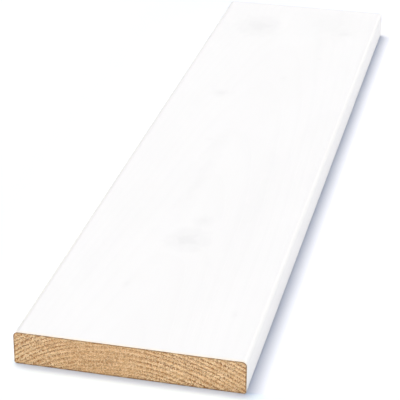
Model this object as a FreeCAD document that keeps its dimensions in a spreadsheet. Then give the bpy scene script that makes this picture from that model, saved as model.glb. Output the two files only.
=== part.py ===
# One exterior cladding board: a flat softwood board, planed to a rectangular section,
# with its two face edges rounded over and its two back edges lightly eased, cut square at both ends.
#
# The board lies on its back. X runs across its width, Y along its length and Z up through its thickness.
# The origin is the middle of the back face. The near cut end faces -Y.
# All sizes are in millimetres.

import FreeCAD, Part
import Sketcher
import enum
import math
import os

PARTS_FOLDER = "parts"
BOARD = "cladding_board"

# Driving dimensions: alias, value, what it is
DIMENSIONS = [
    ("board_width", 145.0, "width across the face"),
    ("board_thickness", 22.0, "thickness, back to face"),
    ("board_length", 630.0, "length between the two cut ends"),
    ("face_edge_radius", 3.0, "rounding of the two edges beside the face"),
    ("back_edge_radius", 1.5, "easing of the two edges beside the back"),
]


class SketchAxis(enum.IntEnum):
    """The sketch's own axes, as Sketcher numbers them."""

    HORIZONTAL = -1
    VERTICAL = -2


class PointOf(enum.IntEnum):
    """The two ends of a sketch line or arc, as Sketcher numbers them."""

    START = 1
    END = 2


def make_size_sheet(doc):
    """Puts the driving dimensions in a spreadsheet, one named cell each."""
    sheet = doc.addObject("Spreadsheet::Sheet", "Sizes")
    for row, (alias, value, meaning) in enumerate(DIMENSIONS, start=1):
        sheet.set(f"A{row}", meaning)
        sheet.set(f"B{row}", str(value))
        sheet.setAlias(f"B{row}", alias)
    doc.recompute()
    return sheet


def origin_plane(body, role):
    """The body's own origin plane with that role."""
    return next(feature for feature in body.Origin.OriginFeatures if feature.Role == role)


def edge_arc(centre, radius, start_degrees):
    """A quarter circle about centre, from start_degrees on, anticlockwise."""
    circle = Part.Circle(centre, FreeCAD.Vector(0, 0, 1), radius)
    start = math.radians(start_degrees)
    return Part.ArcOfCircle(circle, start, start + math.pi / 2)


def draw_section(sketch, sheet):
    """Draws the moulded section, seen from the near end: a rectangle with four rounded corners.

    The outline runs anticlockwise: back, right edge, face, left edge, with a corner after each.
    """
    half_width = sheet.board_width / 2
    thickness = sheet.board_thickness
    face_radius = sheet.face_edge_radius
    back_radius = sheet.back_edge_radius

    def point(x, z):
        return FreeCAD.Vector(x, z, 0)

    back_right = point(half_width - back_radius, back_radius)
    face_right = point(half_width - face_radius, thickness - face_radius)
    face_left = point(-face_right.x, face_right.y)
    back_left = point(-back_right.x, back_right.y)

    back = sketch.addGeometry(Part.LineSegment(point(back_left.x, 0), point(back_right.x, 0)))
    back_right_corner = sketch.addGeometry(edge_arc(back_right, back_radius, -90))
    right_edge = sketch.addGeometry(
        Part.LineSegment(point(half_width, back_right.y), point(half_width, face_right.y))
    )
    face_right_corner = sketch.addGeometry(edge_arc(face_right, face_radius, 0))
    face = sketch.addGeometry(
        Part.LineSegment(point(face_right.x, thickness), point(face_left.x, thickness))
    )
    face_left_corner = sketch.addGeometry(edge_arc(face_left, face_radius, 90))
    left_edge = sketch.addGeometry(
        Part.LineSegment(point(-half_width, face_left.y), point(-half_width, back_left.y))
    )
    back_left_corner = sketch.addGeometry(edge_arc(back_left, back_radius, 180))

    outline = [
        back, back_right_corner, right_edge, face_right_corner,
        face, face_left_corner, left_edge, back_left_corner,
    ]
    for piece, following in zip(outline, outline[1:] + outline[:1]):
        sketch.addConstraint(Sketcher.Constraint("Tangent", piece, PointOf.END, following, PointOf.START))

    sketch.addConstraint(Sketcher.Constraint("Vertical", right_edge))
    sketch.addConstraint(Sketcher.Constraint("Horizontal", face))
    sketch.addConstraint(Sketcher.Constraint("Vertical", left_edge))
    sketch.addConstraint(
        Sketcher.Constraint("Symmetric", back, PointOf.START, back, PointOf.END, SketchAxis.VERTICAL)
    )
    sketch.addConstraint(
        Sketcher.Constraint("PointOnObject", back, PointOf.START, SketchAxis.HORIZONTAL)
    )
    sketch.addConstraint(Sketcher.Constraint("Equal", face_left_corner, face_right_corner))
    sketch.addConstraint(Sketcher.Constraint("Equal", back_left_corner, back_right_corner))

    driven = {
        "board_width": Sketcher.Constraint(
            "DistanceX", left_edge, PointOf.END, right_edge, PointOf.START, sheet.board_width
        ),
        "board_thickness": Sketcher.Constraint(
            "DistanceY", back, PointOf.END, face, PointOf.START, thickness
        ),
        "face_edge_radius": Sketcher.Constraint("Radius", face_right_corner, face_radius),
        "back_edge_radius": Sketcher.Constraint("Radius", back_right_corner, back_radius),
    }
    for alias, constraint in driven.items():
        number = sketch.addConstraint(constraint)
        sketch.renameConstraint(number, alias)
        sketch.setExpression(f"Constraints.{alias}", f"Sizes.{alias}")


def make_board(doc, sheet):
    """The board: its section, drawn across the middle of the length, run out equally both ways."""
    body = doc.addObject("PartDesign::Body", "CladdingBoard")
    body.Label = BOARD

    section = body.newObject("Sketcher::SketchObject", "BoardSection")
    section.AttachmentSupport = [(origin_plane(body, "XZ_Plane"), "")]
    section.MapMode = "FlatFace"
    draw_section(section, sheet)
    doc.recompute()

    run = body.newObject("PartDesign::Pad", "BoardRun")
    run.Profile = section
    run.SideType = "Symmetric"
    run.setExpression("Length", "Sizes.board_length")
    body.Tip = run
    return body


def check_document(doc, bodies):
    """Stops if any object failed, or if a body isn't one sound solid."""
    for item in doc.Objects:
        if "Invalid" in item.State or "Error" in item.State:
            raise RuntimeError(f"{item.Label} failed: {item.State}")
    for body in bodies:
        if body.Shape.isNull() or not body.Shape.isValid() or len(body.Shape.Solids) != 1:
            raise RuntimeError(f"{body.Label} isn't one sound solid")


def main():
    doc = FreeCAD.newDocument("CladdingBoard")
    sheet = make_size_sheet(doc)
    bodies = [make_board(doc, sheet)]
    doc.recompute()
    check_document(doc, bodies)

    os.makedirs(PARTS_FOLDER, exist_ok=True)
    for body in bodies:
        body.Shape.exportStep(os.path.join(PARTS_FOLDER, f"{body.Label}.step"))
        box = body.Shape.BoundBox
        print(body.Label, [box.XMin, box.YMin, box.ZMin], [box.XMax, box.YMax, box.ZMax], body.Shape.Volume)


main()
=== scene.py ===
"""Dresses the exterior cladding board and sets it in a plain white studio.

The board is one length of planed softwood: white paint on its face and edges, a thinner white coat on
its back, and two bare sawn ends. The mesh made here stands for the CAD solid and keeps its size. The
growth rings and saw marks stand on the ends, and the grain and the knots stand faintly under the paint.

Sizes are in metres, in the CAD model's frame: X across the width, Y along the length with the near end
at -Y, and Z up through the thickness from the back, which lies on the floor.
"""

import logging
import math
from abc import ABC, abstractmethod
from dataclasses import dataclass, field
from enum import Enum, IntEnum

import bpy
import numpy as np
from mathutils import Matrix, Vector, noise


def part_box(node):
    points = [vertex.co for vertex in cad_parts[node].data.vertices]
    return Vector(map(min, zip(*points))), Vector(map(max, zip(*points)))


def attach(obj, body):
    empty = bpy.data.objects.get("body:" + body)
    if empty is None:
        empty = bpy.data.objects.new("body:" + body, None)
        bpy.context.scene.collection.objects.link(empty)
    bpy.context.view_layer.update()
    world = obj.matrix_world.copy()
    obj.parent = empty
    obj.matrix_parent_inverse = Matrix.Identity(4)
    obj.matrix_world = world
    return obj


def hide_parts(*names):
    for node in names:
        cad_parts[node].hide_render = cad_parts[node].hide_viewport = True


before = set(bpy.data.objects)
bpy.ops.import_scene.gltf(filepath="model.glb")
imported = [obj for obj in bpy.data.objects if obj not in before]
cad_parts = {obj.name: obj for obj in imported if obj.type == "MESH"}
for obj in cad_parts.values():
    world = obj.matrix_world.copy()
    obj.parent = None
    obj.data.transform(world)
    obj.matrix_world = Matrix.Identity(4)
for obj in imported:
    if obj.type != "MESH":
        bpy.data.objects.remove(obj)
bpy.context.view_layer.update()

logger = logging.getLogger("cladding_board")

MM = 0.001
FACE_HEIGHT = 22 * MM
HALF_WIDTH = 72.5 * MM
HALF_LENGTH = 315 * MM
CAD_NODE = "cladding_board"

GRAIN_ATTRIBUTE = "grain_place"
RIM_ATTRIBUTE = "rim_distance"
BAKE_MAP = "OFBake"

Colour = tuple[float, float, float]
Sizes = tuple[float, float, float]
Span = tuple[float, float]
Value = bpy.types.NodeSocket | float | Colour


class Surface(IntEnum):
    """The finishes that the board wears, numbered as its material slots."""

    WEATHER_PAINT = 0
    BACK_PRIMER = 1
    SAWN_END = 2


class End(Enum):
    """The two cut ends, each with the direction along Y in which it faces."""

    NEAR = -1
    FAR = 1


def linear(red: int, green: int, blue: int) -> Colour:
    """Turns a colour as a screen shows it, 0 to 255, into the linear values that shaders use."""
    shares = (level / 255 for level in (red, green, blue))
    return tuple(s / 12.92 if s <= 0.04045 else ((s + 0.055) / 1.055) ** 2.4 for s in shares)


def smooth_step(values: np.ndarray, low: float, high: float) -> np.ndarray:
    """Rises smoothly from 0 at low to 1 at high."""
    share = np.clip((values - low) / (high - low), 0, 1)
    return share * share * (3 - 2 * share)


def smooth_noise(places: np.ndarray, bump_size: Sizes) -> np.ndarray:
    """Makes smooth noise that is the same at each run.

    Args:
        places: the points, one row each.
        bump_size: the size of a bump along X, Y and Z.

    Returns:
        One value per point, about -0.6 to 0.6.
    """
    return np.array([noise.noise(Vector(place)) for place in places / np.array(bump_size)])


@dataclass(frozen=True)
class GrainPatch:
    """A place on the face where summer wood or a pin knot lies shallow and greys the paint a little.

    x and y are its middle on the face, and shade is how strongly it shows through the paint.
    """

    x: float
    y: float
    half_width: float
    half_length: float
    shade: float


@dataclass(frozen=True)
class Knot(GrainPatch):
    """The foot of a branch, which runs from the pith up to the face and leans along the board."""

    lean: float = 0.35

    def at_height(self, height: float, face_height: float, pith_height: float) -> "Knot":
        """Finds the knot on a plane below the face, where it is smaller and nearer to the branch's root.

        Args:
            height: the plane's height.
            face_height: the height of the face.
            pith_height: the height of the pith.

        Returns:
            The knot as it shows on that plane.
        """
        share = (height - pith_height) / (face_height - pith_height)
        return Knot(
            x=self.x * share,
            y=self.y - self.lean * (face_height - height),
            half_width=self.half_width * share,
            half_length=self.half_length * share,
            shade=self.shade * share,
        )

    def nearness(self, places: np.ndarray, reach: float) -> np.ndarray:
        """Falls from 1 at the knot's middle towards 0, with a third of it left at its edge times reach.

        Args:
            places: the points, one row each.
            reach: how many half sizes wide the fall is.

        Returns:
            The nearness of each point.
        """
        across = (places[:, 0] - self.x) / (self.half_width * reach)
        along = (places[:, 1] - self.y) / (self.half_length * reach)
        return np.exp(-(across**2 + along**2))


KNOTS = (
    Knot(x=2.5 * MM, y=-172 * MM, half_width=12 * MM, half_length=13 * MM, shade=1.0),
    Knot(x=6.0 * MM, y=-143 * MM, half_width=6 * MM, half_length=7 * MM, shade=0.4),
    Knot(x=-33.3 * MM, y=254 * MM, half_width=16 * MM, half_length=21 * MM, shade=0.9),
    Knot(x=45.0 * MM, y=251 * MM, half_width=7 * MM, half_length=8 * MM, shade=0.6),
    Knot(x=-32.5 * MM, y=88 * MM, half_width=5 * MM, half_length=6 * MM, shade=0.8),
    Knot(x=34.0 * MM, y=184 * MM, half_width=2 * MM, half_length=2.5 * MM, shade=0.5),
)


GRAIN_PATCHES = (
    GrainPatch(x=30 * MM, y=272 * MM, half_width=26 * MM, half_length=34 * MM, shade=0.30),
    GrainPatch(x=36 * MM, y=-110 * MM, half_width=9 * MM, half_length=78 * MM, shade=0.24),
    GrainPatch(x=-12 * MM, y=-72 * MM, half_width=6 * MM, half_length=66 * MM, shade=0.32),
    GrainPatch(x=-50 * MM, y=-225 * MM, half_width=6 * MM, half_length=26 * MM, shade=0.20),
    GrainPatch(x=-20 * MM, y=-6 * MM, half_width=3.4 * MM, half_length=2.4 * MM, shade=0.40),
    GrainPatch(x=12 * MM, y=132 * MM, half_width=2.6 * MM, half_length=5 * MM, shade=0.35),
    GrainPatch(x=-22 * MM, y=-240 * MM, half_width=2.2 * MM, half_length=4 * MM, shade=0.35),
    GrainPatch(x=54 * MM, y=-262 * MM, half_width=2.4 * MM, half_length=4 * MM, shade=0.35),
)


@dataclass(frozen=True)
class GrowthRings:
    """Where the growth rings run through the board, whose pith lies below its back.

    The rings are steeper on the pith's left and flatter on its right, and the pith drifts along the
    length, so that both ends show the same tree at two places. A few wide rings, from good years, lie
    at one distance from the pith, and elsewhere the width swings a little from ring to ring. Each swing
    is a size in rings, a rate for each ring and a start, both in radians.
    """

    pith_x: float = -10.18 * MM
    pith_z: float = -100.05 * MM
    drift_x: float = 14 * MM
    drift_z: float = -16 * MM
    ring_width: float = 2.5352 * MM
    ring_start: float = -0.088
    good_years_from_pith: float = 116.40 * MM
    good_years_reach: float = 3.769 * MM
    good_years_fewer: float = 0.454
    width_swings: tuple[tuple[float, float, float], ...] = ((0.103, 0.9, 0.912), (0.042, 2.3, 3.086))
    squeeze: float = 1.0592
    squeeze_change: float = 0.2903
    squeeze_reach: float = 24.35 * MM
    wander: float = 1.137 * MM
    wander_bump: Sizes = (38 * MM, 150 * MM, 38 * MM)
    knot_lift: float = 3.2 * MM
    knot_lift_reach: float = 1.5
    latewood_rise: Span = (0.45, 0.86)
    latewood_fall: Span = (0.93, 1.0)

    def grain_places(self, places: np.ndarray, near_y: float, length: float) -> np.ndarray:
        """Finds where each place lies in the tree.

        Args:
            places: the points, one row each.
            near_y: the near end's Y.
            length: the board's length.

        Returns:
            For each point, the way round the pith in metres, the ring number with its fraction, and the
            place along the board in metres.
        """
        along = (places[:, 1] - near_y) / length
        side = places[:, 0] - self.pith_x - self.drift_x * along
        rise = places[:, 2] - self.pith_z - self.drift_z * along
        squeeze = self.squeeze - self.squeeze_change * np.tanh(side / self.squeeze_reach)
        radius = np.sqrt(squeeze * side**2 + rise**2)
        way_round = np.arctan2(np.sqrt(squeeze) * side, rise) * radius.mean()
        radius += self.wander * smooth_noise(places, self.wander_bump)
        for knot in KNOTS:
            radius += self.knot_lift * knot.shade * knot.nearness(places, self.knot_lift_reach)
        number = radius / self.ring_width
        good_years = (radius - self.good_years_from_pith) / self.good_years_reach
        number -= self.good_years_fewer * np.tanh(good_years)
        swings = [size * np.sin(rate * number + start) for size, rate, start in self.width_swings]
        number += sum(swings) + self.ring_start
        return np.column_stack([way_round, number, places[:, 1]])

    def latewood(self, number: np.ndarray) -> np.ndarray:
        """Gives the share of hard, dark latewood in each ring: a slow rise and a sudden end.

        Args:
            number: the ring numbers, whose fractions are the places in their rings.

        Returns:
            The share at each number.
        """
        phase = number % 1.0
        rise = smooth_step(phase, *self.latewood_rise)
        return rise * (1 - smooth_step(phase, *self.latewood_fall))


@dataclass
class BoardSection:
    """The board's section and the grid of points that fills it on a cut end.

    Columns run from the left edge to the right and rows from the back to the face. The columns crowd
    together at the arrises, so that the roundings come out smooth.
    """

    width: float
    thickness: float
    face_radius: float = 3 * MM
    back_radius: float = 1.5 * MM
    cell: float = 0.5 * MM
    arris_steps: int = 12
    places: np.ndarray = field(init=False)
    rim: np.ndarray = field(init=False)
    outline: np.ndarray = field(init=False)
    outward: np.ndarray = field(init=False)
    run: np.ndarray = field(init=False)

    def __post_init__(self) -> None:
        """Lays out the grid, then walks once round its edge."""
        columns = self.column_places()
        self.rows = 2 * round(self.thickness / self.cell / 2) + 1
        share = np.linspace(0, 1, self.rows)
        from_edge = self.width / 2 - np.abs(columns)
        low = self.rounding(from_edge, self.back_radius)
        high = self.thickness - self.rounding(from_edge, self.face_radius)
        heights = low[:, None] + (high - low)[:, None] * share
        self.places = np.stack([np.repeat(columns[:, None], self.rows, 1), heights], axis=-1)
        self.rim = np.minimum(heights - low[:, None], high[:, None] - heights)
        self.rim = np.minimum(self.rim, from_edge[:, None])
        self.outline = self.walk_round(len(columns))
        self.outward = self.outline_normals()
        around = self.outline_places()
        steps = np.linalg.norm(np.roll(around, -1, axis=0) - around, axis=1)
        self.run = np.concatenate([[0.0], np.cumsum(steps)])

    def column_places(self) -> np.ndarray:
        """Spaces the columns evenly over the flat face, and by equal angles round each face arris.

        Returns:
            The X of each column, from left to right.
        """
        turn = np.linspace(0, math.pi / 2, self.arris_steps + 1)
        arris = self.face_radius * (1 - np.cos(turn))
        flat = self.width - 2 * self.face_radius
        count = 2 * round(flat / self.cell / 2)
        middle = np.linspace(-flat / 2, flat / 2, count + 1)
        left = arris - self.width / 2
        return np.concatenate([left[:-1], middle, -left[-2::-1]])

    @staticmethod
    def rounding(from_edge: np.ndarray, radius: float) -> np.ndarray:
        """Gives how far a rounding of that radius takes the surface back, at a distance from the edge."""
        inside = np.clip(radius - from_edge, 0, radius)
        return radius - np.sqrt(radius**2 - inside**2)

    def walk_round(self, columns: int) -> np.ndarray:
        """Lists the grid's edge points: along the back, up the right, back over the face, down the left."""
        index = np.arange(columns * self.rows).reshape(columns, self.rows)
        return np.concatenate([index[:, 0], index[-1, 1:], index[-2::-1, -1], index[0, -2:0:-1]])

    def outline_places(self) -> np.ndarray:
        """The outline's points, X and Z."""
        return self.places.reshape(-1, 2)[self.outline]

    def outline_normals(self) -> np.ndarray:
        """Finds the outward direction at each outline point from its two neighbours.

        Returns:
            The directions, X and Z.
        """
        around = self.outline_places()
        ahead = np.roll(around, -1, axis=0) - np.roll(around, 1, axis=0)
        ahead /= np.linalg.norm(ahead, axis=1)[:, None]
        return np.stack([ahead[:, 1], -ahead[:, 0]], axis=1)


@dataclass(frozen=True)
class BakeBand:
    """One strip of the bake's map, across its whole width, from one height to another."""

    low: float
    high: float
    margin: float = 0.004

    def place(self, across: np.ndarray, up: np.ndarray) -> np.ndarray:
        """Turns shares of the strip, 0 to 1 each way, into places on the map."""
        u = self.margin + (1 - 2 * self.margin) * across
        return np.stack([u, self.low + (self.high - self.low) * up], axis=-1)


@dataclass
class FaceList:
    """The faces gathered so far, with each corner's place on the bake's map and each face's finish."""

    corners: list[list[int]] = field(default_factory=list)
    map_places: list[np.ndarray] = field(default_factory=list)
    finishes: list[int] = field(default_factory=list)

    def add(self, corners: np.ndarray, map_places: np.ndarray, finishes: np.ndarray) -> None:
        """Adds faces that all have the same number of corners.

        Args:
            corners: the vertex numbers, one row per face.
            map_places: the map places, one row per face and two numbers per corner.
            finishes: each face's material slot.
        """
        self.corners.extend(corners.tolist())
        self.map_places.append(map_places.reshape(-1, 2))
        self.finishes.extend(finishes.tolist())


@dataclass
class CladdingBoard:
    """The whole board as one closed mesh, with its relief and its three finishes.

    The faces run in turns along the board between two fine grids at its ends. Every relief only sinks
    the surface, so that nothing stands past the size that the CAD model gives.
    """

    low: Vector
    high: Vector
    rings: GrowthRings = field(default_factory=GrowthRings)
    stations: int = 186
    first_turn: float = 0.5 * MM
    arris_reach: float = 0.7 * MM
    arris_break: float = 0.08 * MM
    chip_depth: float = 0.25 * MM
    grain_depth: float = 0.012 * MM
    knot_dish: float = 0.16 * MM
    knot_rim: float = 0.10 * MM
    knot_dish_reach: float = 0.8
    knot_rim_reach: float = 1.4
    rim_allowance: float = 0.5
    ring_depth: float = 0.13 * MM
    fibre_depth: float = 0.16 * MM
    least_torn: float = 0.4
    kerf_depth: float = 0.05 * MM
    kerf_pitch: float = 1.9 * MM
    kerf_sway: float = 3.0
    blade_middle: Span = (60 * MM, -140 * MM)
    out_of_flat: float = 0.10 * MM
    torn_bump: Sizes = (0.9 * MM, 1.0, 0.7 * MM)
    broad_bump: Sizes = (30 * MM, 1.0, 9 * MM)
    chip_bump: Sizes = (2.2 * MM, 2.2 * MM, 2.2 * MM)
    crease_angle: float = 38.0
    back_margin: float = 0.98
    body_band: BakeBand = BakeBand(0.004, 0.690)
    near_band: BakeBand = BakeBand(0.700, 0.844)
    far_band: BakeBand = BakeBand(0.854, 0.996)
    length: float = field(init=False)
    section: BoardSection = field(init=False)

    def __post_init__(self) -> None:
        """Takes the board's size from the CAD box."""
        size = self.high - self.low
        self.length = size.y
        self.section = BoardSection(width=size.x, thickness=size.z)

    def build(self, finishes: list[bpy.types.Material]) -> bpy.types.Object:
        """Makes the board's object, with its materials in the order of Surface.

        Args:
            finishes: the materials, one for each Surface.

        Returns:
            The board, placed in the CAD model's frame.
        """
        places, faces = self.lay_out()
        mesh = bpy.data.meshes.new("painted_board")
        mesh.from_pydata(places.tolist(), [], faces.corners)
        for finish in finishes:
            mesh.materials.append(finish)
        mesh.polygons.foreach_set("material_index", faces.finishes)
        mesh.polygons.foreach_set("use_smooth", [True] * len(faces.finishes))
        mesh.set_sharp_from_angle(angle=math.radians(self.crease_angle))
        layer = mesh.uv_layers.new(name=BAKE_MAP)
        layer.data.foreach_set("uv", np.concatenate(faces.map_places).ravel())
        self.store(mesh, GRAIN_ATTRIBUTE, "FLOAT_VECTOR", "vector", self.grain_places(places))
        self.store(mesh, RIM_ATTRIBUTE, "FLOAT", "value", self.rim_distances(len(places)))
        mesh.update()
        board = bpy.data.objects.new("painted_board", mesh)
        bpy.context.scene.collection.objects.link(board)
        return board

    @staticmethod
    def store(mesh: bpy.types.Mesh, name: str, kind: str, key: str, values: np.ndarray) -> None:
        """Keeps a number or a vector per vertex where the shaders can read it."""
        attribute = mesh.attributes.new(name, kind, "POINT")
        attribute.data.foreach_set(key, values.astype(np.float32).ravel())

    def grain_places(self, places: np.ndarray) -> np.ndarray:
        """Where each vertex lies in the tree."""
        return self.rings.grain_places(places, self.low.y, self.length)

    def latewood(self, places: np.ndarray) -> np.ndarray:
        """The share of latewood at each vertex."""
        return self.rings.latewood(self.grain_places(places)[:, 1])

    def rim_distances(self, count: int) -> np.ndarray:
        """Lists each vertex's distance from the outline.

        Args:
            count: the number of vertices.

        Returns:
            The distance of its grid point for a vertex on an end, and 0 for the others.
        """
        distances = np.zeros(count)
        rim = self.section.rim.ravel()
        distances[: 2 * len(rim)] = np.concatenate([rim, rim])
        return distances

    def lay_out(self) -> tuple[np.ndarray, FaceList]:
        """Places every vertex and lists every face.

        Returns:
            The vertices, one row each, and the faces.
        """
        section = self.section
        grid = len(section.rim.ravel())
        around = len(section.outline)
        near_end = self.end_places(End.NEAR)
        far_end = self.end_places(End.FAR)
        margin = 3 * self.first_turn
        inner = np.linspace(self.low.y + margin, self.high.y - margin, self.stations)
        turns = [self.turn_places(self.low.y + self.first_turn, 1)]
        turns += [self.turn_places(y, 2) for y in inner]
        turns.append(self.turn_places(self.high.y - self.first_turn, 1))
        places = np.concatenate([near_end, far_end, *turns])

        first = 2 * grid
        near_arris = section.outline
        far_arris = section.outline + grid
        near_fine = np.arange(first, first + around)
        coarse = first + around + np.arange(self.stations * (around // 2)).reshape(self.stations, around // 2)
        far_fine = np.arange(len(places) - around, len(places))

        faces = FaceList()
        self.add_end_faces(faces, 0, End.NEAR, self.near_band)
        self.add_end_faces(faces, grid, End.FAR, self.far_band)
        self.add_strip(faces, places, near_arris, near_fine, step=1)
        self.add_seam(faces, places, near_fine, coarse[0], End.NEAR)
        for this, following in zip(coarse, coarse[1:]):
            self.add_strip(faces, places, this, following, step=2)
        self.add_seam(faces, places, far_fine, coarse[-1], End.FAR)
        self.add_strip(faces, places, far_fine, far_arris, step=1)
        return places, faces

    def end_places(self, end: End) -> np.ndarray:
        """Places the grid of one cut end, sunk by its relief.

        Args:
            end: the end.

        Returns:
            The grid's vertices, one row each.
        """
        flat = self.section.places.reshape(-1, 2)
        outer_y = self.low.y if end is End.NEAR else self.high.y
        places = np.column_stack([flat[:, 0], np.full(len(flat), outer_y), flat[:, 1]])
        places[:, 1] -= end.value * self.end_sink(places)
        return places

    def end_sink(self, places: np.ndarray) -> np.ndarray:
        """Gives how far each point of a cut end lies behind its outermost plane.

        Latewood stands proud of the torn earlywood, the saw leaves shallow curved scores, the cut isn't
        quite flat, and its arris is a little broken.

        Args:
            places: the end's vertices, one row each.

        Returns:
            The depth at each vertex.
        """
        earlywood = 1 - self.latewood(places)
        torn = np.clip(0.5 + smooth_noise(places, self.torn_bump), 0, 1)
        torn *= self.least_torn + (1 - self.least_torn) * earlywood
        broad = 0.5 + smooth_noise(places, self.broad_bump)
        blade_x, blade_z = self.blade_middle
        blade = np.hypot(places[:, 0] - blade_x, places[:, 2] - blade_z)
        scores = 0.5 + 0.5 * np.sin(2 * math.pi * blade / self.kerf_pitch + self.kerf_sway * broad)
        chips = np.clip(smooth_noise(places, self.chip_bump), 0, 1)
        inside = smooth_step(self.section.rim.ravel(), 0, self.arris_reach)
        relief = self.ring_depth * earlywood + self.fibre_depth * torn + self.kerf_depth * scores
        arris = self.arris_break + self.chip_depth * chips
        return inside * relief + (1 - inside) * arris + self.out_of_flat * np.clip(broad, 0, 1)

    def turn_places(self, y: float, step: int) -> np.ndarray:
        """Places one turn of vertices round the board, sunk by the relief under the paint.

        Args:
            y: where along the board.
            step: 1 for every point of the outline, 2 for every second one.

        Returns:
            The vertices, one row each.
        """
        flat = self.section.outline_places()[::step]
        outward = self.section.outward[::step]
        places = np.column_stack([flat[:, 0], np.full(len(flat), y), flat[:, 1]])
        sink = self.paint_sink(places, outward[:, 1])
        places[:, 0] -= outward[:, 0] * sink
        places[:, 2] -= outward[:, 1] * sink
        return places

    def paint_sink(self, places: np.ndarray, upward: np.ndarray) -> np.ndarray:
        """Gives how far the painted surface lies behind the board's outermost size.

        Latewood lines stand proud of the earlywood. A knot is dished, with a low rim where the grain
        bends round it.

        Args:
            places: the vertices, one row each.
            upward: the Z of each vertex's outward direction, 1 on the face and -1 on the back.

        Returns:
            The depth at each vertex.
        """
        sink = self.grain_depth * (1 - self.latewood(places))
        for knot in KNOTS:
            for height, facing in ((self.high.z, 1), (self.low.z, -1)):
                here = knot.at_height(height, self.high.z, self.rings.pith_z)
                dish = here.nearness(places, self.knot_dish_reach) * here.shade
                rim = here.nearness(places, self.knot_rim_reach) * here.shade - dish
                showing = np.clip(facing * upward, 0, 1)
                sink += showing * (self.knot_dish * dish - self.knot_rim * rim)
        return sink + self.knot_rim * self.rim_allowance

    def add_end_faces(self, faces: FaceList, start: int, end: End, band: BakeBand) -> None:
        """Adds the grid of faces that closes one end.

        Args:
            faces: the list to add to.
            start: the number of the end's first vertex.
            end: the end.
            band: the end's strip of the bake's map.
        """
        section = self.section
        columns, rows = section.rim.shape
        index = start + np.arange(columns * rows).reshape(columns, rows)
        corners = np.stack([index[:-1, :-1], index[1:, :-1], index[1:, 1:], index[:-1, 1:]], axis=-1)
        corners = corners.reshape(-1, 4)
        if end is End.FAR:
            corners = corners[:, ::-1]
        flat = section.places.reshape(-1, 2)[corners - start]
        across = flat[..., 0] / section.width + 0.5
        if end is End.FAR:
            across = 1 - across
        up = flat[..., 1] / section.thickness
        finishes = np.full(len(corners), Surface.SAWN_END)
        faces.add(corners, band.place(across, up), finishes)

    def strip_map(self, places: np.ndarray, corners: np.ndarray, turns: np.ndarray) -> np.ndarray:
        """Places the long faces' corners on the map: the length across it, the way round up it."""
        along = (places[corners, 1] - self.low.y) / self.length
        return self.body_band.place(along, turns / self.section.run[-1])

    def painted_finish(self, run: np.ndarray) -> np.ndarray:
        """Tells which coat each face wears. The outline starts with an easing, and then comes the back.

        Args:
            run: how far round the outline each face starts.

        Returns:
            The material slot of each face.
        """
        back = self.section.width - 2 * self.section.back_radius
        start = math.pi / 2 * self.section.back_radius * self.back_margin
        is_back = (run > start) & (run < start + back)
        return np.where(is_back, Surface.BACK_PRIMER, Surface.WEATHER_PAINT)

    def add_strip(
        self, faces: FaceList, places: np.ndarray, this: np.ndarray, following: np.ndarray, step: int
    ) -> None:
        """Adds the turn of faces between two turns of vertices.

        Args:
            faces: the list to add to.
            places: every vertex.
            this: the vertices of the turn nearer to the near end.
            following: the vertices of the next turn.
            step: how many outline points lie between two of a turn's vertices.
        """
        start = self.section.run[:-1:step]
        stop = np.append(start[1:], self.section.run[-1])
        corners = np.stack([this, following, np.roll(following, -1), np.roll(this, -1)], axis=-1)
        turns = np.stack([start, start, stop, stop], axis=-1)
        faces.add(corners, self.strip_map(places, corners, turns), self.painted_finish(start))

    def add_seam(
        self, faces: FaceList, places: np.ndarray, fine: np.ndarray, coarse: np.ndarray, end: End
    ) -> None:
        """Joins a turn with every outline point to one with every second, by three triangles each time.

        Args:
            faces: the list to add to.
            places: every vertex.
            fine: the full turn's vertices.
            coarse: the other turn's vertices.
            end: the end that the full turn is nearer to.
        """
        run = self.section.run
        start, middle = run[:-1:2], run[1:-1:2]
        stop = np.append(start[1:], run[-1])
        fine_start, fine_middle, fine_stop = fine[::2], fine[1::2], np.roll(fine[::2], -1)
        coarse_stop = np.roll(coarse, -1)
        triangles = (
            ((fine_start, coarse, fine_middle), (start, start, middle)),
            ((coarse, coarse_stop, fine_middle), (start, stop, middle)),
            ((fine_middle, coarse_stop, fine_stop), (middle, stop, stop)),
        )
        for vertices, rounds in triangles:
            corners = np.stack(vertices, axis=-1)
            turns = np.stack(rounds, axis=-1)
            if end is End.FAR:
                corners, turns = corners[:, ::-1], turns[:, ::-1]
            faces.add(corners, self.strip_map(places, corners, turns), self.painted_finish(start))


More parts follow.
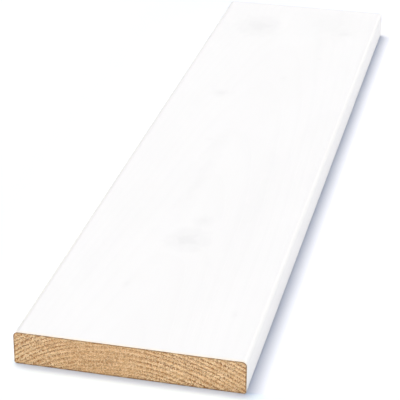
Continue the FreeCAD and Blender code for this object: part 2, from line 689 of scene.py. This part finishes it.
class NodeSheet:
    """A node tree being filled, with short ways to add nodes and join them."""

    def __init__(self, tree: bpy.types.NodeTree) -> None:
        """Starts on a tree."""
        self.tree = tree

    def add(self, kind: str, **settings: object) -> bpy.types.Node:
        """Adds a node and sets its properties.

        Args:
            kind: the node's type.
            settings: its properties, by name.

        Returns:
            The node.
        """
        node = self.tree.nodes.new(kind)
        for name, value in settings.items():
            setattr(node, name, value)
        return node

    def feed(self, target: bpy.types.NodeSocket, value: Value) -> None:
        """Links a socket into the target, or sets the target's own value.

        Args:
            target: the input.
            value: the socket, number or colour for it.
        """
        if isinstance(value, bpy.types.NodeSocket):
            self.tree.links.new(value, target)
        elif isinstance(value, tuple) and len(value) == 3 and len(target.default_value) == 4:
            target.default_value = (*value, 1.0)
        else:
            target.default_value = value

    def calculate(self, operation: str, *values: Value) -> bpy.types.NodeSocket:
        """Adds a Math node.

        Args:
            operation: the Math node's operation.
            values: its inputs.

        Returns:
            The result's socket.
        """
        node = self.add("ShaderNodeMath", operation=operation)
        for target, value in zip(node.inputs, values):
            self.feed(target, value)
        return node.outputs[0]

    def ramp(
        self, value: Value, low: float, high: float, to_low: float = 0.0, to_high: float = 1.0
    ) -> bpy.types.NodeSocket:
        """Maps a value from low..high to to_low..to_high, smoothly at both ends and no further.

        Args:
            value: the value.
            low: the value that gives to_low.
            high: the value that gives to_high.
            to_low: the result at low.
            to_high: the result at high.

        Returns:
            The result's socket.
        """
        node = self.add("ShaderNodeMapRange", interpolation_type="SMOOTHSTEP")
        for name, number in (("From Min", low), ("From Max", high), ("To Min", to_low), ("To Max", to_high)):
            node.inputs[name].default_value = number
        self.feed(node.inputs["Value"], value)
        return node.outputs["Result"]

    def fall(self, value: Value, low: float, high: float) -> bpy.types.NodeSocket:
        """Falls smoothly from 1 at low to 0 at high."""
        return self.ramp(value, low, high, 1.0, 0.0)

    def blend(self, share: Value, first: Value, second: Value) -> bpy.types.NodeSocket:
        """Mixes two colours.

        Args:
            share: how much of the second.
            first: the first colour.
            second: the second colour.

        Returns:
            The mixed colour's socket.
        """
        node = self.add("ShaderNodeMix", data_type="RGBA")
        self.feed(node.inputs[0], share)
        self.feed(node.inputs[6], first)
        self.feed(node.inputs[7], second)
        return node.outputs[2]

    def noise(self, place: Value, scale: float, detail: Value) -> bpy.types.NodeSocket:
        """Adds smooth noise.

        Args:
            place: where it is read.
            scale: how many bumps it has in a metre.
            detail: how many finer layers it has.

        Returns:
            The noise's socket.
        """
        node = self.add("ShaderNodeTexNoise", noise_dimensions="3D")
        for name, value in (("Vector", place), ("Scale", scale), ("Detail", detail)):
            self.feed(node.inputs[name], value)
        return node.outputs["Fac"]

    def combine(self, operation: str, *vectors: Value) -> bpy.types.Node:
        """Adds a Vector Math node.

        Args:
            operation: its operation.
            vectors: its inputs.

        Returns:
            The node, whose output is "Vector", or "Value" for a length.
        """
        node = self.add("ShaderNodeVectorMath", operation=operation)
        for target, vector in zip(node.inputs, vectors):
            self.feed(target, vector)
        return node

    def stored(self, name: str, output: str) -> bpy.types.NodeSocket:
        """Reads what the mesh keeps under that name, as a "Fac" or a "Vector"."""
        return self.add("ShaderNodeAttribute", attribute_name=name).outputs[output]

    def part_of(self, vector: Value, axis: str) -> bpy.types.NodeSocket:
        """Takes one of a vector's three numbers.

        Args:
            vector: the vector.
            axis: "X", "Y" or "Z".

        Returns:
            The number's socket.
        """
        node = self.add("ShaderNodeSeparateXYZ")
        self.feed(node.inputs[0], vector)
        return node.outputs[axis]

    def shade(self, colour: Value, towards: Colour, mask: Value, strength: float) -> bpy.types.NodeSocket:
        """Blends a colour towards another where the mask is, by the strength."""
        return self.blend(self.calculate("MULTIPLY", mask, strength), colour, towards)

    def lay(self, colour: Value, layers: tuple[tuple[Colour, Value, float], ...]) -> Value:
        """Lays tints over a colour, one after the other.

        Args:
            colour: the colour underneath.
            layers: each tint, with its mask and its strength.

        Returns:
            The colour with every tint on it.
        """
        for towards, mask, strength in layers:
            colour = self.shade(colour, towards, mask, strength)
        return colour

    def place(self) -> bpy.types.NodeSocket:
        """Reads the place in the board's own frame."""
        return self.add("ShaderNodeTexCoord").outputs["Object"]

    def use(self, group: bpy.types.NodeTree, **inputs: Value) -> bpy.types.Node:
        """Places a shared group and feeds its inputs, whose names have spaces for underscores.

        Args:
            group: the group.
            inputs: its inputs, by name.

        Returns:
            The group's node.
        """
        node = self.add("ShaderNodeGroup", node_tree=group)
        for name, value in inputs.items():
            self.feed(node.inputs[name.replace("_", " ")], value)
        return node


class SharedGroup(ABC):
    """A shader node group with named inputs and outputs, which several finishes use."""

    name: str
    inputs: tuple[tuple[str, str, object], ...]
    outputs: tuple[str, ...]

    def build(self) -> bpy.types.NodeTree:
        """Makes the group with its sockets, and fills it.

        Returns:
            The group.
        """
        tree = bpy.data.node_groups.new(self.name, "ShaderNodeTree")
        for title, kind, value in self.inputs:
            socket = tree.interface.new_socket(name=title, in_out="INPUT", socket_type=kind)
            socket.default_value = value
        for title in self.outputs:
            tree.interface.new_socket(name=title, in_out="OUTPUT", socket_type="NodeSocketFloat")
        sheet = NodeSheet(tree)
        source = sheet.add("NodeGroupInput")
        results = self.fill(sheet, source.outputs)
        drain = sheet.add("NodeGroupOutput")
        for title, result in zip(self.outputs, results):
            sheet.feed(drain.inputs[title], result)
        return tree

    @abstractmethod
    def fill(self, sheet: NodeSheet, source: bpy.types.NodeOutputs) -> list[bpy.types.NodeSocket]:
        """Adds the nodes between the group's inputs and outputs.

        Args:
            sheet: the group's nodes.
            source: the group's inputs.

        Returns:
            The results, in the order of the outputs.
        """


class RingBands(SharedGroup):
    """Turns grain places into bands: pale earlywood that darkens outwards to a thin latewood line."""

    name = "ring_bands"
    inputs = (
        ("Grain Place", "NodeSocketVector", (0.0, 0.0, 0.0)),
        ("Place", "NodeSocketVector", (0.0, 0.0, 0.0)),
        ("Waver", "NodeSocketFloat", 0.2),
    )
    outputs = ("Latewood", "Pale Line", "Ring Tone")
    ripple_scale: float = 420.0
    latewood_rise: Span = (0.46, 0.88)
    latewood_fall: Span = (0.95, 1.0)
    pale_rise: Span = (0.0, 0.05)
    pale_fall: Span = (0.20, 0.60)

    def fill(self, sheet: NodeSheet, source: bpy.types.NodeOutputs) -> list[bpy.types.NodeSocket]:
        """Wavers the ring number a little, then shapes its fraction.

        Args:
            sheet: the group's nodes.
            source: the group's inputs.

        Returns:
            The latewood share, the pale line just outside it, and a tone that changes from ring to ring.
        """
        ripple = sheet.noise(source["Place"], self.ripple_scale, detail=2.0)
        offset = sheet.calculate("SUBTRACT", ripple, 0.5)
        offset = sheet.calculate("MULTIPLY", offset, source["Waver"])
        number = sheet.calculate("ADD", sheet.part_of(source["Grain Place"], "Y"), offset)
        phase = sheet.calculate("FRACT", number)
        rise = sheet.ramp(phase, *self.latewood_rise)
        latewood = sheet.calculate("MULTIPLY", rise, sheet.fall(phase, *self.latewood_fall))
        fade = sheet.fall(phase, *self.pale_fall)
        pale = sheet.calculate("MULTIPLY", sheet.ramp(phase, *self.pale_rise), fade)
        each = sheet.add("ShaderNodeTexWhiteNoise", noise_dimensions="1D")
        sheet.feed(each.inputs["W"], sheet.calculate("FLOOR", number))
        return [latewood, pale, each.outputs["Value"]]


class Mottle(SharedGroup):
    """Uneven tone: noise stretched along the board's axes and spread to 0 and 1."""

    name = "mottle"
    inputs = (
        ("Place", "NodeSocketVector", (0.0, 0.0, 0.0)),
        ("Bumps", "NodeSocketVector", (1000.0, 1000.0, 1000.0)),
        ("Detail", "NodeSocketFloat", 2.0),
        ("Low", "NodeSocketFloat", 0.35),
        ("High", "NodeSocketFloat", 0.65),
    )
    outputs = ("Tone",)

    def fill(self, sheet: NodeSheet, source: bpy.types.NodeOutputs) -> list[bpy.types.NodeSocket]:
        """Scales the place, makes noise there, and spreads it.

        Args:
            sheet: the group's nodes.
            source: the group's inputs.

        Returns:
            The tone.
        """
        scaled = sheet.combine("MULTIPLY", source["Place"], source["Bumps"])
        texture = sheet.noise(scaled.outputs["Vector"], scale=1.0, detail=source["Detail"])
        spread = sheet.add("ShaderNodeMapRange", interpolation_type="SMOOTHSTEP")
        sheet.feed(spread.inputs["Value"], texture)
        sheet.feed(spread.inputs["From Min"], source["Low"])
        sheet.feed(spread.inputs["From Max"], source["High"])
        return [spread.outputs["Result"]]


class KnotMark(SharedGroup):
    """Where one knot shows under paint: its dark core and the ring round it."""

    name = "knot_mark"
    inputs = (
        ("Place", "NodeSocketVector", (0.0, 0.0, 0.0)),
        ("Middle", "NodeSocketVector", (0.0, 0.0, 0.0)),
        ("Half Size", "NodeSocketVector", (0.01, 0.01, 1.0)),
        ("Shade", "NodeSocketFloat", 1.0),
    )
    outputs = ("Core", "Ring")
    uneven_scale: float = 150.0
    unevenness: float = 1.3
    core_fall: Span = (0.25, 1.05)
    ring_rise: Span = (0.65, 0.95)
    ring_fall: Span = (1.0, 1.6)

    def fill(self, sheet: NodeSheet, source: bpy.types.NodeOutputs) -> list[bpy.types.NodeSocket]:
        """Measures the distance from the knot in its own half sizes, with an uneven edge.

        Args:
            sheet: the group's nodes.
            source: the group's inputs.

        Returns:
            The core and the ring, both scaled by the shade.
        """
        offset = sheet.combine("SUBTRACT", source["Place"], source["Middle"])
        flat = sheet.combine("MULTIPLY", offset.outputs["Vector"], (1.0, 1.0, 0.0))
        unit = sheet.combine("DIVIDE", flat.outputs["Vector"], source["Half Size"])
        length = sheet.combine("LENGTH", unit.outputs["Vector"])
        uneven = sheet.noise(source["Place"], self.uneven_scale, detail=3.0)
        uneven = sheet.calculate("SUBTRACT", uneven, 0.5)
        wobble = sheet.calculate("MULTIPLY", uneven, self.unevenness)
        distance = sheet.calculate("ADD", length.outputs["Value"], wobble)
        core = sheet.fall(distance, *self.core_fall)
        outer = sheet.fall(distance, *self.ring_fall)
        ring = sheet.calculate("MULTIPLY", sheet.ramp(distance, *self.ring_rise), outer)
        return [sheet.calculate("MULTIPLY", part, source["Shade"]) for part in (core, ring)]


@dataclass(frozen=True)
class SharedEffects:
    """The node groups that the finishes share."""

    ring_bands: bpy.types.NodeTree
    mottle: bpy.types.NodeTree
    knot_mark: bpy.types.NodeTree

    @classmethod
    def build(cls) -> "SharedEffects":
        """Makes each group once."""
        return cls(RingBands().build(), Mottle().build(), KnotMark().build())


@dataclass(frozen=True)
class Finish(ABC):
    """One finish of the board, made as a material with a single Principled shader."""

    effects: SharedEffects
    ring_waver: float = 0.10

    @staticmethod
    def start(name: str) -> tuple[bpy.types.Material, NodeSheet, bpy.types.Node]:
        """Makes an empty material of that name.

        Args:
            name: the material's name.

        Returns:
            The material, its nodes, and its Principled shader.
        """
        material = bpy.data.materials.new(name)
        material.use_nodes = True
        material.node_tree.nodes.clear()
        sheet = NodeSheet(material.node_tree)
        shader = sheet.add("ShaderNodeBsdfPrincipled")
        output = sheet.add("ShaderNodeOutputMaterial")
        sheet.feed(output.inputs["Surface"], shader.outputs["BSDF"])
        return material, sheet, shader

    def tone(
        self, sheet: NodeSheet, place: Value, sizes: Sizes, detail: float = 2.0, spread: float = 0.15
    ) -> bpy.types.NodeSocket:
        """Places the mottle group.

        Args:
            sheet: the material's nodes.
            place: the place or grain place that it is laid out on.
            sizes: the size of a bump along each of that place's three numbers.
            detail: how many finer layers it has.
            spread: how far from its middle the noise reaches 0 and 1.

        Returns:
            The tone's socket.
        """
        low, high = 0.5 - spread, 0.5 + spread
        group = sheet.use(self.effects.mottle, Place=place, Detail=detail, Low=low, High=high)
        group.inputs["Bumps"].default_value = tuple(1 / size for size in sizes)
        return group.outputs["Tone"]

    @staticmethod
    def bump(sheet: NodeSheet, heights: list[tuple[Value, float]], depth: float) -> bpy.types.NodeSocket:
        """Adds up heights and turns them into a normal.

        Args:
            sheet: the material's nodes.
            heights: each height, 0 to 1, with its weight.
            depth: how deep a height of 1 is, in metres.

        Returns:
            The normal's socket.
        """
        total = sheet.calculate("MULTIPLY", *heights[0])
        for height, weight in heights[1:]:
            total = sheet.calculate("MULTIPLY_ADD", height, weight, total)
        node = sheet.add("ShaderNodeBump")
        node.inputs["Distance"].default_value = depth
        sheet.feed(node.inputs["Height"], total)
        return node.outputs["Normal"]

    @abstractmethod
    def build(self) -> bpy.types.Material:
        """Makes the material."""


@dataclass(frozen=True)
class WeatherPaint(Finish):
    """Opaque white paint over planed softwood, through which knots and grain show a little.

    Each band beside an arris or an end runs between two distances from the face, the edge or the end.
    """

    name: str = "weather_paint"
    height: float = FACE_HEIGHT
    patches: tuple[GrainPatch, ...] = GRAIN_PATCHES
    white: Colour = linear(247, 247, 247)
    grain_shade: Colour = linear(236, 236, 235)
    knot_shade: Colour = linear(222, 222, 223)
    # painted shade: the grey of a line along the face's left arris and the far end's edge
    painted_edge_shade: Colour = linear(218, 218, 219)
    # painted highlight: the white of a band round the right arris
    painted_highlight: Colour = linear(255, 255, 254)
    saw_tint: Colour = linear(252, 242, 224)
    cloud_strength: float = 0.10
    grain_strength: float = 0.06
    painted_edge_shade_strength: float = 1.0
    painted_shade_at_far_end: float = 0.7
    painted_highlight_strength: float = 0.95
    tint_strength: float = 0.8
    knot_strength: float = 0.33
    ring_strength: float = 0.12
    upper_band: Span = (3.4 * MM, 2.0 * MM)
    painted_shade_band: Span = (1.5 * MM, 3.8 * MM)
    painted_highlight_band: Span = (2.6 * MM, 1.5 * MM)
    far_band: Span = (1.2 * MM, 0.2 * MM)
    tinted_band: Span = (0.3 * MM, 3.5 * MM)
    cloud_size: Sizes = (30 * MM, 90 * MM, 30 * MM)
    streak_size: Sizes = (0.9 * MM, 26 * MM, 0.9 * MM)
    pore_size: Sizes = (0.5 * MM, 1.6 * MM, 0.5 * MM)
    glossy: float = 0.42
    dull: float = 0.56
    relief: float = 0.03 * MM

    def knot_marks(self, sheet: NodeSheet, place: Value) -> list[bpy.types.NodeSocket]:
        """Joins the marks of every knot and patch on this side.

        Args:
            sheet: the material's nodes.
            place: the place in the board's own frame.

        Returns:
            The cores and the rings.
        """
        showing = [knot.at_height(self.height, FACE_HEIGHT, GrowthRings.pith_z) for knot in KNOTS]
        showing.extend(self.patches)
        marks = []
        for here in showing:
            group = sheet.use(self.effects.knot_mark, Place=place, Shade=here.shade)
            group.inputs["Middle"].default_value = (here.x, here.y, 0.0)
            group.inputs["Half Size"].default_value = (here.half_width, here.half_length, 1.0)
            marks.append((group.outputs["Core"], group.outputs["Ring"]))
        joined = list(marks[0])
        for mark in marks[1:]:
            joined = [sheet.calculate("MAXIMUM", *pair) for pair in zip(joined, mark)]
        return joined

    def arrises(self, sheet: NodeSheet, place: Value) -> list[bpy.types.NodeSocket]:
        """Marks where painted shade, a painted highlight and the saw's warm tint go on the paint.

        Painted shade lies as a grey line round the face's left arris and along the far end's edge, and a
        painted highlight as a whiter band round the right arris. Sawdust and resin tint it beside the near
        end.

        Args:
            sheet: the material's nodes.
            place: the place in the board's own frame.

        Returns:
            The painted shade, the painted highlight and the tinted places.
        """
        across = sheet.part_of(place, "X")
        along = sheet.part_of(place, "Y")
        upper = sheet.ramp(sheet.part_of(place, "Z"), *(FACE_HEIGHT - inset for inset in self.upper_band))
        # painted shade along the face's left arris
        left = sheet.fall(across, *(inset - HALF_WIDTH for inset in self.painted_shade_band))
        left = sheet.calculate("MULTIPLY", left, upper)
        # painted highlight round the right arris
        right = sheet.ramp(across, *(HALF_WIDTH - inset for inset in self.painted_highlight_band))
        far_places = (HALF_LENGTH - inset for inset in self.far_band)
        # painted shade along the far end's edge
        far = sheet.ramp(along, *far_places, 0.0, self.painted_shade_at_far_end)
        near = sheet.fall(along, *(inset - HALF_LENGTH for inset in self.tinted_band))
        edge_shade_mask = sheet.calculate("MAXIMUM", left, far)
        return [edge_shade_mask, sheet.calculate("MULTIPLY", right, upper), near]

    def build(self) -> bpy.types.Material:
        """Makes the paint: its colour, then its gloss, then its fine surface.

        Returns:
            The material.
        """
        material, sheet, shader = self.start(self.name)
        place = sheet.place()
        grain = sheet.stored(GRAIN_ATTRIBUTE, "Vector")
        bands = sheet.use(self.effects.ring_bands, Grain_Place=grain, Place=place, Waver=self.ring_waver)
        latewood = bands.outputs["Latewood"]
        core, ring = self.knot_marks(sheet, place)
        cloud = self.tone(sheet, place, self.cloud_size, detail=3.0)
        edge_shade_mask, highlight_mask, tinted = self.arrises(sheet, place)
        layers = (
            (self.grain_shade, cloud, self.cloud_strength),
            (self.grain_shade, latewood, self.grain_strength),
            (self.knot_shade, ring, self.ring_strength),
            (self.knot_shade, core, self.knot_strength),
            # painted shade and painted highlight at the arrises
            (self.painted_edge_shade, edge_shade_mask, self.painted_edge_shade_strength),
            (self.painted_highlight, highlight_mask, self.painted_highlight_strength),
            (self.saw_tint, tinted, self.tint_strength),
        )
        sheet.feed(shader.inputs["Base Color"], sheet.lay(self.white, layers))

        streaks = self.tone(sheet, place, self.streak_size, detail=3.0)
        sheet.feed(shader.inputs["Roughness"], sheet.ramp(streaks, 0.0, 1.0, self.glossy, self.dull))
        pores = self.tone(sheet, place, self.pore_size)
        heights = [(streaks, 0.5), (pores, 0.3), (latewood, 0.7)]
        sheet.feed(shader.inputs["Normal"], self.bump(sheet, heights, self.relief))
        return material


@dataclass(frozen=True)
class BackPrimer(WeatherPaint):
    """A single white coat, thinner than the face's paint, which lets more of the wood through."""

    name: str = "back_primer"
    height: float = 0.0
    patches: tuple[GrainPatch, ...] = ()
    white: Colour = linear(242, 241, 238)
    grain_shade: Colour = linear(226, 222, 213)
    knot_shade: Colour = linear(205, 197, 184)
    cloud_strength: float = 0.35
    grain_strength: float = 0.55
    knot_strength: float = 0.75
    ring_strength: float = 0.45
    glossy: float = 0.58
    dull: float = 0.74
    relief: float = 0.05 * MM


@dataclass(frozen=True)
class SawnEnd(Finish):
    """Bare wood cut across its grain: growth rings, rays, torn fibres and open pits.

    The lines and the rays are laid out on the grain: their sizes are metres round the pith, rings, and
    metres along the board. The other sizes are along X, Y and Z.
    """

    earlywood: Colour = linear(244, 188, 131)
    latewood: Colour = linear(144, 86, 33)
    calm_wood: Colour = linear(208, 177, 129)
    pale_line: Colour = linear(255, 224, 173)
    ray_shade: Colour = linear(255, 216, 162)
    fleck_shade: Colour = linear(255, 229, 188)
    pit_shade: Colour = linear(112, 58, 20)
    rim_shade: Colour = linear(108, 72, 38)
    calm_strength: float = 0.50
    cloud_strength: float = 0.24
    tone_strength: float = 0.16
    latewood_strength: float = 1.0
    pale_strength: float = 1.0
    line_strength: float = 0.36
    ray_strength: float = 0.22
    fibre_strength: float = 0.31
    fleck_strength: float = 0.95
    pit_strength: float = 0.66
    rim_strength: float = 0.85
    cloud_size: Sizes = (18 * MM, 1.0, 7 * MM)
    line_size: Sizes = (7 * MM, 0.22, 1.0)
    ray_size: Sizes = (0.45 * MM, 2.2, 1.0)
    fibre_size: Sizes = (0.8 * MM, 1.0, 0.6 * MM)
    fleck_size: Sizes = (0.55 * MM, 1.0, 0.5 * MM)
    pit_size: Sizes = (1.1 * MM, 1.0, 0.9 * MM)
    ragged_size: Sizes = (2.6 * MM, 1.0, 2.6 * MM)
    patch_size: Sizes = (13 * MM, 1.0, 5 * MM)
    fleck_rise: Span = (0.6, 1.0)
    pit_rise: Span = (0.25, 0.0)
    rim_fall: Span = (0.15 * MM, 1.1 * MM)
    least_ragged: float = 0.5
    gloss: float = 0.25
    calm_x: float = -16 * MM
    calm_reach: Span = (11 * MM, 35.2 * MM)
    calm_contrast: float = 0.35
    calm_speckle: float = 0.72
    faint: float = 0.70
    glossy: float = 0.66
    dull: float = 0.86
    relief: float = 0.12 * MM

    def ring_contrast(self, sheet: NodeSheet, place: Value) -> bpy.types.NodeSocket:
        """Makes the rings fainter in a calm middle than at both sides, and uneven everywhere.

        Args:
            sheet: the material's nodes.
            place: the place in the board's own frame.

        Returns:
            The contrast, up to 1 at the sides.
        """
        offset = sheet.calculate("SUBTRACT", sheet.part_of(place, "X"), self.calm_x)
        distance = sheet.calculate("ABSOLUTE", offset)
        sides = sheet.ramp(distance, *self.calm_reach, self.calm_contrast, 1.0)
        patches = self.tone(sheet, place, self.patch_size, detail=1.0)
        return sheet.calculate("MULTIPLY", sides, sheet.ramp(patches, 0.0, 1.0, self.faint, 1.0))

    def build(self) -> bpy.types.Material:
        """Makes the end grain: rings first, then what lies across them, then the cut's roughness.

        Returns:
            The material.
        """
        material, sheet, shader = self.start("sawn_end")
        place = sheet.place()
        grain = sheet.stored(GRAIN_ATTRIBUTE, "Vector")
        rim = sheet.stored(RIM_ATTRIBUTE, "Fac")
        bands = sheet.use(self.effects.ring_bands, Grain_Place=grain, Place=place, Waver=self.ring_waver)
        contrast = self.ring_contrast(sheet, place)
        latewood = sheet.calculate("MULTIPLY", bands.outputs["Latewood"], contrast)
        pale = sheet.calculate("MULTIPLY", bands.outputs["Pale Line"], contrast)
        cloud = self.tone(sheet, place, self.cloud_size)
        lines = self.tone(sheet, grain, self.line_size)
        rays = self.tone(sheet, grain, self.ray_size, detail=1.0)
        fibres = self.tone(sheet, place, self.fibre_size, detail=3.0)
        speckle = sheet.calculate("MAXIMUM", contrast, self.calm_speckle)
        flecks = self.tone(sheet, place, self.fleck_size, detail=1.0, spread=0.1)
        flecks = sheet.calculate("MULTIPLY", sheet.ramp(flecks, *self.fleck_rise), speckle)
        pits = self.tone(sheet, place, self.pit_size, spread=0.2)
        pits = sheet.calculate("MULTIPLY", sheet.ramp(pits, *self.pit_rise), speckle)
        ragged = self.tone(sheet, place, self.ragged_size)
        ragged = sheet.ramp(ragged, 0.0, 1.0, self.least_ragged, 1.0)
        outline = sheet.calculate("MULTIPLY", sheet.fall(rim, *self.rim_fall), ragged)
        layers = (
            (self.calm_wood, sheet.calculate("SUBTRACT", 1.0, contrast), self.calm_strength),
            (self.latewood, cloud, self.cloud_strength),
            (self.latewood, bands.outputs["Ring Tone"], self.tone_strength),
            (self.latewood, latewood, self.latewood_strength),
            (self.pale_line, pale, self.pale_strength),
            (self.latewood, lines, self.line_strength),
            (self.ray_shade, rays, self.ray_strength),
            (self.latewood, fibres, self.fibre_strength),
            (self.fleck_shade, flecks, self.fleck_strength),
            (self.pit_shade, pits, self.pit_strength),
            (self.rim_shade, outline, self.rim_strength),
        )
        sheet.feed(shader.inputs["Base Color"], sheet.lay(self.earlywood, layers))

        shader.inputs["Specular IOR Level"].default_value = self.gloss
        sheet.feed(shader.inputs["Roughness"], sheet.ramp(fibres, 0.0, 1.0, self.dull, self.glossy))
        heights = [(latewood, 0.3), (fibres, 0.7), (flecks, 0.5), (pits, -0.6), (rays, 0.2)]
        sheet.feed(shader.inputs["Normal"], self.bump(sheet, heights, self.relief))
        return material


@dataclass(frozen=True)
class SoftLamp:
    """A distant soft lamp, whose spread is in degrees. Its level is what it adds to a white surface."""

    name: str
    towards: tuple[float, float, float]
    level: float
    spread: float
    colour: Colour

    def place(self) -> None:
        """Adds the lamp, shining from the direction that towards gives."""
        light = bpy.data.lights.new(self.name, "SUN")
        light.energy = self.level * math.pi
        light.angle = math.radians(self.spread)
        light.color = self.colour
        lamp = bpy.data.objects.new(self.name, light)
        lamp.rotation_euler = Vector(self.towards).to_track_quat("Z", "Y").to_euler()
        bpy.context.scene.collection.objects.link(lamp)


@dataclass(frozen=True)
class Studio:
    """A white floor, a soft lamp above, low ones at the front and the back, and an even bluish sky.

    Where the board shuts the floor in, the floor carries painted shade for the camera: one colour in front of
    the near end and another beside the board and behind it. In front of the near end its white is bluer, a
    painted tint of that shade. A faint bluish glow, seen by the camera alone, keeps it white.
    """

    floor_size: float = 8.0
    floor_gap: float = 0.05 * MM
    floor_white: Colour = (0.95, 0.97, 1.0)
    # painted shade: the floor's colour right beside and behind the board, and how far it reaches
    side_painted_shade: Colour = (0.465, 0.495, 0.485)
    side_reach: float = 14.5 * MM
    # painted shade in front of the near end, with a bluer white there that tints it
    front_shade_tint: Colour = (0.885, 0.97, 1.0)
    front_painted_shade: Colour = (0.715, 0.80, 0.875)
    front_reach: float = 9.6 * MM
    front_open: float = 0.67
    front_fade: float = 4 * MM
    front_shade_tint_reach: Span = (26 * MM, 7 * MM)
    occlusion_samples: int = 16
    glow_colour: Colour = (1.0, 1.0, 1.6)
    floor_glow: float = 0.05
    sky_colour: Colour = (0.56, 0.90, 1.77)
    sky_level: float = 0.18
    lamps: tuple[SoftLamp, ...] = (
        SoftLamp("top_lamp", (-0.29, 0.10, 1.0), 0.865, 40.0, (1.06, 0.985, 0.825)),
        SoftLamp("front_lamp", (0.70, -0.71, 0.07), 0.575, 14.0, (1.13, 1.01, 0.77)),
        SoftLamp("back_lamp", (-0.70, 0.70, 0.06), 0.12, 14.0, (1.14, 1.0, 0.48)),
    )

    def build(self) -> None:
        """Sets the floor, the sky and the lamps."""
        self.lay_floor()
        self.make_sky()
        for lamp in self.lamps:
            lamp.place()

    def lay_floor(self) -> None:
        """Lays the floor just under the board."""
        half = self.floor_size / 2
        corners = [(-half, -half), (half, -half), (half, half), (-half, half)]
        mesh = bpy.data.meshes.new("studio_floor")
        mesh.from_pydata([(x, y, -self.floor_gap) for x, y in corners], [], [(0, 1, 2, 3)])
        material, sheet, shader = Finish.start("floor_white")
        seen = sheet.add("ShaderNodeLightPath").outputs["Is Camera Ray"]
        sheet.feed(shader.inputs["Base Color"], self.white_with_painted_shade(sheet, seen))
        shader.inputs["Roughness"].default_value = 1.0
        shader.inputs["Specular IOR Level"].default_value = 0.0
        sheet.feed(shader.inputs["Emission Color"], self.glow_colour)
        sheet.feed(shader.inputs["Emission Strength"], sheet.calculate("MULTIPLY", seen, self.floor_glow))
        mesh.materials.append(material)
        floor = bpy.data.objects.new("studio_floor", mesh)
        bpy.context.scene.collection.objects.link(floor)

    def white_with_painted_shade(self, sheet: NodeSheet, seen: Value) -> bpy.types.NodeSocket:
        """Colours the floor white, with painted shade near the board for the camera and none for any other
        ray.

        Args:
            sheet: the floor material's nodes.
            seen: 1 for a ray from the camera, and 0 for any other.

        Returns:
            The colour's socket.
        """
        # how much the board shuts the floor in sets where the painted shade lies
        occlusion = sheet.add("ShaderNodeAmbientOcclusion", samples=self.occlusion_samples)
        along = sheet.part_of(sheet.place(), "Y")
        edge = (-HALF_LENGTH, self.front_fade - HALF_LENGTH)
        sheet.feed(occlusion.inputs["Distance"], sheet.ramp(along, *edge, self.front_reach, self.side_reach))
        unseen = sheet.calculate("SUBTRACT", 1.0, seen)
        open_share = sheet.calculate("MAXIMUM", occlusion.outputs["AO"], unseen)
        in_front = sheet.fall(along, *edge)
        close = sheet.ramp(along, *(-HALF_LENGTH - reach for reach in self.front_shade_tint_reach))
        # painted tint: a bluer white just in front of the near end
        white = sheet.blend(sheet.calculate("MULTIPLY", in_front, close), self.floor_white, self.front_shade_tint)
        # painted shade: darker colours where the board shuts the floor in
        painted_floor_shade = sheet.blend(in_front, self.side_painted_shade, self.front_painted_shade)
        steep = sheet.ramp(open_share, self.front_open, 1.0)
        bright_share = sheet.blend(in_front, open_share, steep)
        return sheet.blend(bright_share, painted_floor_shade, white)

    def make_sky(self) -> None:
        """Lights the board evenly from all round, and shows plain white to the camera and in gloss."""
        world = bpy.data.worlds.new("studio_sky")
        world.use_nodes = True
        world.node_tree.nodes.clear()
        sheet = NodeSheet(world.node_tree)
        glow = sheet.add("ShaderNodeBackground")
        sheet.feed(glow.inputs["Color"], self.sky_colour)
        sheet.feed(glow.inputs["Strength"], self.sky_level)
        white = sheet.add("ShaderNodeBackground")
        sheet.feed(white.inputs["Color"], (1.0, 1.0, 1.0))
        rays = sheet.add("ShaderNodeLightPath")
        seen = sheet.calculate("MAXIMUM", rays.outputs["Is Camera Ray"], rays.outputs["Is Glossy Ray"])
        seen = sheet.calculate("MAXIMUM", seen, rays.outputs["Is Transmission Ray"])
        mix = sheet.add("ShaderNodeMixShader")
        sheet.feed(mix.inputs[0], seen)
        sheet.feed(mix.inputs[1], glow.outputs[0])
        sheet.feed(mix.inputs[2], white.outputs[0])
        output = sheet.add("ShaderNodeOutputWorld")
        sheet.feed(output.inputs["Surface"], mix.outputs[0])
        bpy.context.scene.world = world


@dataclass(frozen=True)
class ProductCamera:
    """The camera: at the near end, a little to the right, and looking down along the board.

    Its turn from the Y axis, its look down and its roll are in degrees, and its sensor and lens in mm.
    """

    place: tuple[float, float, float] = (219.516 * MM, -1085.504 * MM, 516.265 * MM)
    turn: float = 12.8925
    depression: float = 26.316
    roll: float = 0.568
    sensor: float = 36.0
    lens: float = 141.02
    clip: Span = (0.05, 50.0)

    def set_up(self) -> None:
        """Adds the camera and makes it the scene's own."""
        optics = bpy.data.cameras.new("product_camera")
        optics.sensor_width = self.sensor
        optics.lens = self.lens
        optics.clip_start, optics.clip_end = self.clip
        camera = bpy.data.objects.new("product_camera", optics)
        turn = Matrix.Rotation(math.radians(self.turn), 4, "Z")
        tilt = Matrix.Rotation(math.radians(90 - self.depression), 4, "X")
        roll = Matrix.Rotation(math.radians(self.roll), 4, "Z")
        camera.matrix_world = Matrix.Translation(self.place) @ turn @ tilt @ roll
        bpy.context.scene.collection.objects.link(camera)
        bpy.context.scene.camera = camera


def main() -> None:
    """Builds the board, then the studio and the camera."""
    logging.basicConfig(level=logging.INFO, format="%(message)s")
    bpy.context.scene.view_settings.view_transform = "Standard"
    effects = SharedEffects.build()
    finishes = {
        Surface.WEATHER_PAINT: WeatherPaint(effects),
        Surface.BACK_PRIMER: BackPrimer(effects),
        Surface.SAWN_END: SawnEnd(effects),
    }
    low, high = (Vector(corner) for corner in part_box(CAD_NODE))
    board = CladdingBoard(low, high).build([finishes[surface].build() for surface in Surface])
    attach(board, "root")
    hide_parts(CAD_NODE)
    logger.info("%s: %d vertices, %d faces", board.name, len(board.data.vertices), len(board.data.polygons))
    Studio().build()
    logger.info("studio: floor, sky and %d lamps", len(Studio.lamps))
    ProductCamera().set_up()
    logger.info("camera: %s", bpy.context.scene.camera.name)


if __name__ == "__main__":
    main()
